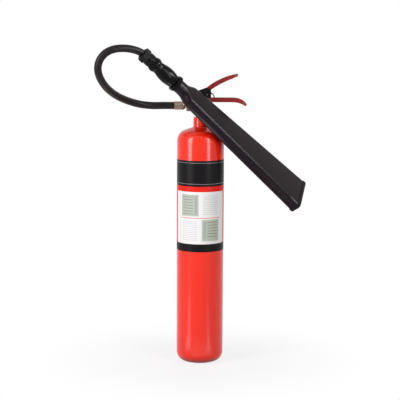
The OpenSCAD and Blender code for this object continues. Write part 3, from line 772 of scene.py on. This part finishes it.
@dataclass
class Valve(Assembly):
    """The valve body with its moving stem, spring, seals and burst disc, and the thread above the neck.

    The thread's half width is a share of its pitch and its flat crest a share of that half. It rises from nothing
    and falls to a stub over a few steps at its ends.
    """

    thread_r: float = 0.0129
    thread_height: float = 0.0010
    thread_pitch: float = 0.0018
    thread_low: float = 0.7458
    thread_high: float = 0.7564
    thread_steps: int = 40
    thread_half: float = 0.42
    thread_flat: float = 0.15
    thread_fade: int = 10
    thread_stub: float = 0.05
    spring_mean_r: float = 0.0053
    spring_wire_r: float = 0.0007
    spring_turns: int = 5
    spring_steps: int = 28
    spring_sides: int = 10
    spring_travel: float = 0.0033
    finishes: Mapping[str, Finish] = field(default_factory=lambda: {
        "valve_body": VALVE_BLACK,
        "burst_disc": ZINC,
        "burst_disc_plug": COPPER_BRASS,
        "gland_nut": PLAIN_BRASS,
        "gland_seal": NITRILE,
        "valve_stem": ZINC,
        "valve_poppet": PLAIN_BRASS,
        "poppet_seal": IVORY,
    })

    def build(self) -> Iterable[bpy.types.Object]:
        """Makes the visible turns of the valve's thread, and its spring."""
        return [self.thread(), self.spring()]

    def thread(self) -> bpy.types.Object:
        """Cuts the thread that shows between the neck and the valve.

        Returns:
            The thread.
        """
        turns = (self.thread_high - self.thread_low) / self.thread_pitch - 1
        count = round(turns * self.thread_steps)
        half = self.thread_half * self.thread_pitch
        flat = self.thread_flat * half
        rings: list[Ring] = []
        for step in range(count + 1):
            angle = 2 * math.pi * step / self.thread_steps
            fade_in = step / self.thread_fade
            fade_out = (count - step) / self.thread_fade + self.thread_stub
            crest = self.thread_height * min(1.0, fade_in, fade_out)
            middle = self.thread_low + half + self.thread_pitch * step / self.thread_steps
            outer = self.thread_r + crest
            profile = [(self.thread_r, half), (outer, flat), (outer, -flat), (self.thread_r, -half)]
            rings.append([
                Vector((r * math.cos(angle), r * math.sin(angle), middle + up))
                for r, up in profile
            ])
        thread = Mould.loft("neck_thread", rings, loop=False, crease=25.0)
        PLAIN_BRASS.coat(thread)
        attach(thread, Body.BOTTLE.value)
        return thread

    def spring(self) -> bpy.types.Object:
        """Winds the valve's spring at rest; the real spring is pressed together as the stem goes down, which this
        piece doesn't follow.

        Returns:
            The spring.
        """
        low, high = (corner[2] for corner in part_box("valve_spring"))
        rise = high - low - 2 * self.spring_wire_r
        count = self.spring_turns * self.spring_steps
        upward = Vector((0.0, 0.0, 1.0))
        rings: list[Ring] = []
        for step in range(count + 1):
            angle = 2 * math.pi * step / self.spring_steps
            out = Vector((math.cos(angle), math.sin(angle), 0.0))
            middle = self.spring_mean_r * out + (low + self.spring_wire_r + rise * step / count) * upward
            turns = [2 * math.pi * side / self.spring_sides for side in range(self.spring_sides)]
            rings.append([
                middle + self.spring_wire_r * (math.cos(a) * upward + math.sin(a) * out)
                for a in turns
            ])
        spring = Mould.loft("wound_spring", rings, loop=False, crease=50.0)
        ZINC.coat(spring)
        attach(spring, Body.BOTTLE.value)
        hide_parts("valve_spring")
        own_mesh(spring)
        return spring


@dataclass
class Levers(Assembly):
    """The carrying handle and the operating lever with their rivets and pivot."""

    finishes: Mapping[str, Finish] = field(default_factory=lambda: {
        "carry_handle": LEVER_RED,
        "operating_lever": LEVER_RED,
        "handle_rivets": DARK_STEEL,
        "lever_pivot_pin": DARK_STEEL,
    })


@dataclass
class SafetyPin(Assembly):
    """The safety pin and its pull ring."""

    finishes: Mapping[str, Finish] = field(default_factory=lambda: {
        "safety_pin": DARK_STEEL,
        "pull_ring": RING_BLACK,
    })


@dataclass
class HoseLine(Assembly):
    """The hose from the valve to the grip, with the fittings at its two ends."""

    MAP_NAME: ClassVar[str] = "hose_map"

    radius: float = 0.011
    sides: int = 28
    steps: int = 8
    exit: Point = (-0.079, 0.0, 0.779)
    grip_start: Point = (-0.163, -0.150, 0.9335)
    grip_dip: float = 130.2
    grip_yaw: float = 23.5
    grip_reaches: Point = (-0.008, 0.010, 0.034)
    free_route: Sequence[Point] = (
        (-0.052, 0.0, 0.779), (-0.080, 0.0, 0.779), (-0.112, 0.0, 0.779), (-0.146, -0.005, 0.779),
        (-0.182, -0.021, 0.784), (-0.216, -0.052, 0.796), (-0.244, -0.091, 0.812), (-0.266, -0.129, 0.832),
        (-0.281, -0.161, 0.854), (-0.290, -0.184, 0.877), (-0.292, -0.198, 0.899), (-0.286, -0.204, 0.920),
        (-0.272, -0.204, 0.938), (-0.252, -0.200, 0.949), (-0.230, -0.191, 0.953), (-0.207, -0.179, 0.952),
        (-0.186, -0.165, 0.947),
    )
    finishes: Mapping[str, Finish] = field(default_factory=lambda: {
        "union_nut": COPPER_BRASS,
        "hose_washer": NITRILE,
        "hose_tail": PLAIN_BRASS,
        "valve_end_ferrule": COPPER_BRASS,
        "horn_end_ferrule": VALVE_BLACK,
        "horn_end_tail": PLAIN_BRASS,
    })

    def route(self) -> list[Vector]:
        """The points that the hose passes, ending straight inside the grip.

        Returns:
            The points, from the valve to the grip.
        """
        start = Vector(self.grip_start)
        yaw = Matrix.Rotation(math.radians(self.grip_yaw), 3, "Z")
        dip = Matrix.Rotation(math.radians(self.grip_dip), 3, "Y")
        heading = yaw @ dip @ Vector((0.0, 0.0, 1.0))
        inside = [start + reach * heading for reach in self.grip_reaches]
        return [Vector(point) for point in self.free_route] + inside

    def line(self) -> list[Vector]:
        """Close points on a smooth curve through the route.

        Returns:
            The centre line, from the valve to the grip.
        """
        route = self.route()
        last = len(route) - 1
        points: list[Vector] = []
        for index in range(last):
            before, here = route[max(index - 1, 0)], route[index]
            there, after = route[index + 1], route[min(index + 2, last)]
            for step in range(self.steps):
                t = step / self.steps
                points.append(0.5 * (
                    2 * here + (there - before) * t + (2 * before - 5 * here + 4 * there - after) * t ** 2
                    + (3 * here - before - 3 * there + after) * t ** 3
                ))
        return points + [route[last]]

    def build(self) -> Iterable[bpy.types.Object]:
        """Makes the hose as a tube along its line, with a map along and around it.

        Returns:
            The hose.
        """
        line = self.line()
        spans = [(b - a).length for a, b in zip(line, line[1:])]
        length = sum(spans)
        rings: list[Ring] = []
        side = Vector((0.0, 1.0, 0.0))
        for index, point in enumerate(line):
            ahead = (line[min(index + 1, len(line) - 1)] - line[max(index - 1, 0)]).normalized()
            side = (side - side.dot(ahead) * ahead).normalized()
            up = ahead.cross(side)
            angles = [2 * math.pi * k / self.sides for k in range(self.sides)]
            rings.append([point + self.radius * (math.cos(a) * side + math.sin(a) * up) for a in angles])
        hose = Mould.loft("black_hose", rings, loop=False)
        self.map_hose(hose.data, [sum(spans[:index]) / length for index in range(len(line))])
        HOSE_BLACK.coat(hose)
        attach(hose, Body.HOSE.value)
        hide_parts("hose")
        return [hose]

    def map_hose(self, mesh: bpy.types.Mesh, shares: Sequence[float]) -> None:
        """Lays a map over the hose: its share of the length, and its turn.

        Args:
            mesh: The hose's mesh, ring by ring.
            shares: Each ring's share of the length.
        """
        layer = mesh.uv_layers.new(name=self.MAP_NAME)
        for face in mesh.polygons:
            numbers = [mesh.loops[loop].vertex_index for loop in face.loop_indices]
            turns = [number % self.sides for number in numbers]
            wraps = max(turns) - min(turns) > 1
            for loop, number, turn in zip(face.loop_indices, numbers, turns):
                full = self.sides if wraps and turn == 0 and len(numbers) == 4 else turn
                layer.data[loop].uv = (shares[number // self.sides], full / self.sides)


@dataclass
class Horn(Assembly):
    """The discharge horn, and the grip and collars that hold it.

    Distances along the horn are measured from the collar's end. Where it is round, the corners of its section are
    nearly as large as its radius, by the round share.
    """

    CAD_WALLS: ClassVar[Sequence[str]] = (
        "horn_throat", "horn_top_plate", "horn_under_plate", "horn_front_side", "horn_back_side",
    )

    collar_end: float = 0.135
    droop: float = 0.7
    spin: float = 50.0
    length: float = 0.532
    throat_r: float = 0.0195
    throat_bore_r: float = 0.014
    shoulder_start: float = 0.028
    shoulder_end: float = 0.052
    hollow_start: float = 0.023
    root_size: tuple[float, float] = (0.065, 0.035)
    root_corner: float = 0.010
    mouth_size: tuple[float, float] = (0.113, 0.037)
    mouth_corner: float = 0.010
    wall: float = 0.003
    lip: float = 0.0026
    lip_start: float = 0.012
    lip_full: float = 0.007
    rim_round: float = 0.0007
    spigot_r: float = 0.017
    spigot_start: float = -0.0068
    spigot_end: float = 0.0005
    throat_start: float = 0.001
    round_share: float = 0.93
    lip_ease: float = 0.001
    bend_length: float = 0.007
    bend_steps: int = 5
    bell_steps: int = 12
    corner_steps: int = 8
    seam_half: float = 0.0008
    seam_height: float = 0.0003
    finishes: Mapping[str, Finish] = field(default_factory=lambda: {
        "grip_nut": NUT_BLACK,
        "horn_grip": GRIP_BLACK,
        "horn_collar": GRIP_BLACK,
        "discharge_pipe": ZINC,
        "discharge_jet": PLAIN_BRASS,
    })

    def placing(self) -> Matrix:
        """Where the horn's own frame lies: +Z from the collar to the mouth, the wide side along Y.

        Returns:
            The matrix from the horn's frame to the CAD frame.
        """
        line = HoseLine()
        grip = Matrix.Translation(line.grip_start)
        for axis, angle in (("Z", line.grip_yaw), ("Y", line.grip_dip)):
            grip = grip @ Matrix.Rotation(math.radians(angle), 4, axis)
        horn = grip @ Matrix.Translation((0.0, 0.0, self.collar_end))
        for axis, angle in (("Y", self.droop), ("Z", self.spin)):
            horn = horn @ Matrix.Rotation(math.radians(angle), 4, axis)
        return horn

    def section(self, reach: float, wide: float, thin: float, corner: float, seam: float) -> Ring:
        """One ring of the horn: a rounded rectangle with a raised seam on its narrow sides.

        Args:
            reach: Distance along the horn's axis.
            wide: Size along Y.
            thin: Size along X.
            corner: Radius of the corners.
            seam: Height of the moulding seam.

        Returns:
            The ring's points, in the horn's own frame.
        """
        ring: Ring = []
        for quarter, (right, up) in enumerate(((1, 1), (-1, 1), (-1, -1), (1, -1))):
            middle = Vector((right * (thin / 2 - corner), up * (wide / 2 - corner), reach))
            for step in range(self.corner_steps + 1):
                angle = math.pi / 2 * (quarter + step / self.corner_steps)
                ring.append(middle + corner * Vector((math.cos(angle), math.sin(angle), 0.0)))
            if quarter in (0, 2):
                across = up * wide / 2
                ring += [
                    Vector((right * self.seam_half, across, reach)),
                    Vector((0.0, across + up * seam, reach)),
                    Vector((-right * self.seam_half, across, reach)),
                ]
        return ring

    def disc(self, radius: float) -> Station:
        """A nearly round section: its wide and thin sizes and its corner."""
        return 2 * radius, 2 * radius, self.round_share * radius

    def bent(self, before: Station, knee: Station, after: Station) -> list[Station]:
        """Stations that round off the knee between two straight stretches of the horn's skin.

        Args:
            before: A station on the first stretch: reach, wide, thin and corner.
            knee: The station where the stretches meet.
            after: A station on the second stretch.

        Returns:
            The stations from one stretch to the other.
        """
        def toward(goal: Station) -> list[float]:
            """The station where the bend leaves the stretch to the goal."""
            share = min(1.0, self.bend_length / abs(goal[0] - knee[0]))
            return [k + share * (g - k) for k, g in zip(knee, goal)]

        first, last = toward(before), toward(after)
        return [
            tuple((1 - t) ** 2 * a + 2 * t * (1 - t) * k + t * t * b for a, k, b in zip(first, knee, last))
            for t in (step / self.bend_steps for step in range(self.bend_steps + 1))
        ]

    def skin(self, inset: float, start: float, throat_r: float) -> list[Station]:
        """Stations of the horn's outer or inner skin, from the throat to the end of the bell.

        Args:
            inset: How far the skin lies inside the outer one.
            start: Where the throat starts to widen.
            throat_r: Radius of the throat.

        Returns:
            Stations of reach, wide, thin and corner.
        """
        end = self.length - self.lip_start
        throat = (self.throat_start, *self.disc(throat_r))
        widening = (start, *throat[1:])
        root = (self.shoulder_end, *(size - 2 * inset for size in self.root_size), self.root_corner - inset)
        bell = (end, *(size - 2 * inset for size in self.mouth_size), self.mouth_corner - inset)
        shares = [step / self.bell_steps for step in range(1, self.bell_steps + 1)]
        along = [tuple(r + share * (b - r) for r, b in zip(root, bell)) for share in shares]
        return [throat, *self.bent(throat, widening, root), *self.bent(widening, root, bell), *along]

    def build(self) -> Iterable[bpy.types.Object]:
        """Makes the horn as one hollow moulding with a rolled lip.

        Returns:
            The horn.
        """
        wide, thin = self.mouth_size
        spigot, bore = self.disc(self.spigot_r), self.disc(self.throat_bore_r)
        rolled = (wide + 2 * self.lip, thin + 2 * self.lip, self.mouth_corner + self.lip)
        eased = tuple(size - 2 * self.rim_round for size in rolled[:2])
        inner = (wide - 2 * self.wall, thin - 2 * self.wall, self.mouth_corner - self.wall)
        opened = tuple(size + 2 * self.rim_round for size in inner[:2])
        full = self.length - self.lip_full
        rim = self.length - self.rim_round
        outside = [
            (self.spigot_start, *spigot), (self.spigot_end, *spigot),
            *self.skin(0.0, self.shoulder_start, self.throat_r),
            (full - self.lip_ease, *rolled), (full + self.lip_ease, *rolled), (rim, *rolled),
            (self.length, *eased, rolled[2] - self.rim_round),
        ]
        inside = [
            (self.length, *opened, inner[2] + self.rim_round), (rim, *inner),
            *reversed(self.skin(self.wall, self.hollow_start, self.throat_bore_r)),
            (self.spigot_start, *bore),
        ]
        place = self.placing()
        rings = [
            [place @ point for point in self.section(*station, seam)]
            for skin, seam in ((outside, self.seam_height), (inside, 0.0)) for station in skin
        ]
        horn = Mould.loft("moulded_horn", rings, loop=True, crease=32.0)
        HORN_BLACK.coat(horn)
        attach(horn, Body.HOSE.value)
        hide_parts(*self.CAD_WALLS)
        return [horn]


@dataclass(frozen=True)
class Lamp:
    """An area lamp of the studio.

    Attributes:
        name: The lamp's name.
        azimuth: Its direction from the camera's side, in degrees, the right being positive.
        reach: Its distance from the bottle's axis.
        height: Its height.
        size: Its width and height.
        radiance: Its brightness, where a white wall is 1.
        glow: Whether it lights the object, is mirrored in it, or both.
        upward: Whether it points straight up, and not at the object.
    """

    name: str
    azimuth: float
    reach: float
    height: float
    size: tuple[float, float]
    radiance: float
    glow: Glow = Glow.FULL
    upward: bool = False

    def hang(self, aim: Vector) -> None:
        """Hangs the lamp in the scene.

        Args:
            aim: The point on the object that it points at.
        """
        data = bpy.data.lights.new(self.name, "AREA")
        data.shape = "RECTANGLE"
        data.size, data.size_y = self.size
        data.energy = self.radiance * math.pi * self.size[0] * self.size[1]
        lamp = bpy.data.objects.new(self.name, data)
        turn = math.radians(self.azimuth)
        place = Vector((self.reach * math.sin(turn), -self.reach * math.cos(turn), self.height))
        facing = (aim - place).to_track_quat("-Z", "Y")
        if self.upward:
            facing = (Matrix.Rotation(turn, 3, "Z") @ Matrix.Rotation(math.pi, 3, "X")).to_quaternion()
        lamp.matrix_world = Matrix.LocRotScale(place, facing, None)
        lamp.visible_camera = False
        lamp.visible_glossy = self.glow is not Glow.FILL
        lamp.visible_diffuse = self.glow is not Glow.GLINT
        bpy.context.scene.collection.objects.link(lamp)


@dataclass
class Studio:
    """Camera, floor, lamps and background."""

    camera_place: Point = (-0.0009, -3.9611, 1.0507)
    camera_tilt: float = 82.0
    camera_roll: float = 0.3
    lens: float = 119.16
    sensor: float = 36.0
    aim: Point = (0.0, 0.0, 0.45)
    floor_r: float = 9.0
    floor_sides: int = 96
    floor_drop: float = 0.0004
    floor_grey: float = 0.72
    shadow_core: float = 0.10
    shadow_r: float = 0.55
    shadow_share: float = 0.18
    ambient: float = 0.10
    lamps: Sequence[Lamp] = (
        Lamp("left_strip", azimuth=-52.0, reach=1.9, height=1.10, size=(0.62, 1.7), radiance=11.0),
        Lamp("right_strip", azimuth=40.0, reach=1.9, height=1.10, size=(0.46, 1.7), radiance=8.8),
        Lamp("top_soft", azimuth=-20.0, reach=0.9, height=2.3, size=(1.4, 1.4), radiance=0.7),
        Lamp("back_soft", azimuth=172.0, reach=2.2, height=1.0, size=(1.5, 1.5), radiance=3.6,
             glow=Glow.FILL),
        Lamp("left_low", azimuth=-51.0, reach=0.65, height=0.010, size=(0.11, 0.9), radiance=2.4,
             upward=True),
        Lamp("right_low", azimuth=40.0, reach=0.55, height=0.010, size=(0.06, 0.7), radiance=1.8,
             upward=True),
        Lamp("side_soft", azimuth=70.0, reach=1.9, height=1.48, size=(0.80, 0.50), radiance=28.0,
             glow=Glow.GLINT),
        Lamp("under_soft", azimuth=-56.0, reach=0.175, height=0.395, size=(0.15, 0.15), radiance=3.0,
             glow=Glow.GLINT, upward=True),
        Lamp("front_soft", azimuth=12.0, reach=0.195, height=0.010, size=(0.30, 0.16), radiance=0.8,
             glow=Glow.GLINT, upward=True),
    )

    def build(self) -> None:
        """Makes the whole studio."""
        self.place_camera()
        self.lay_floor()
        for lamp in self.lamps:
            lamp.hang(Vector(self.aim))
        self.paint_world()
        bpy.context.scene.view_settings.view_transform = "Standard"

    def place_camera(self) -> None:
        """Puts the camera where the photograph was taken from."""
        data = bpy.data.cameras.new("camera")
        data.lens = self.lens
        data.sensor_width = self.sensor
        camera = bpy.data.objects.new("camera", data)
        tilt = Matrix.Rotation(math.radians(self.camera_tilt), 4, "X")
        roll = Matrix.Rotation(math.radians(self.camera_roll), 4, "Z")
        camera.matrix_world = Matrix.Translation(self.camera_place) @ tilt @ roll
        bpy.context.scene.collection.objects.link(camera)
        bpy.context.scene.camera = camera

    @staticmethod
    def seen(graph: Graph) -> Sock:
        """Mask of the rays that show a surface: straight to the camera, mirrored or passed through."""
        path = graph.add("ShaderNodeLightPath")
        return graph.cover(graph.out(path, f"Is {kind} Ray") for kind in ("Camera", "Glossy", "Transmission"))

    def lay_floor(self) -> None:
        """Lays a pale round floor that is near white to the eye and keeps the shadow."""
        corners = range(self.floor_sides)
        rim = [
            Vector((self.floor_r * math.cos(a), self.floor_r * math.sin(a), -self.floor_drop))
            for a in (2 * math.pi * k / self.floor_sides for k in corners)
        ]
        floor = Mould.piece("pale_floor", rim, [corners], crease=30.0)
        paint = bpy.data.materials.new("pale_floor_paint")
        paint.use_nodes = True
        graph = Graph(paint.node_tree)
        grey = graph.colour((self.floor_grey,) * 3)
        matt = graph.out(graph.add("ShaderNodeBsdfDiffuse", inputs={"Color": grey}))
        white = graph.out(graph.add("ShaderNodeEmission", inputs={"Strength": 1.0}))
        x, y, _ = graph.split(graph.place())
        near = graph.rise(graph.math("SQRT", x * x + y * y), self.shadow_r, self.shadow_core)
        glow = self.seen(graph) * (1.0 - near * self.shadow_share)
        mixed = graph.out(graph.add("ShaderNodeMixShader", inputs={0: glow, 1: matt, 2: white}))
        graph.surface(mixed)
        floor.data.materials.append(paint)

    def paint_world(self) -> None:
        """Makes the background white to the eye and softer as a light."""
        world = bpy.data.worlds.new("white_room")
        world.use_nodes = True
        bpy.context.scene.world = world
        graph = Graph(world.node_tree)
        strength = self.ambient + self.seen(graph) * (1.0 - self.ambient)
        inputs = {"Color": graph.colour(WHITE), "Strength": strength}
        back = graph.add("ShaderNodeBackground", inputs=inputs)
        graph.add("ShaderNodeOutputWorld", inputs={"Surface": graph.out(back)})


def main() -> None:
    """Builds the studio and every assembly in order."""
    logging.basicConfig(level=logging.INFO, format="%(message)s")
    Studio().build()
    for assembly in (HoseLine(), Bottle(), Valve(), Levers(), SafetyPin(), Horn()):
        assembly.make()


if __name__ == "__main__":
    main()
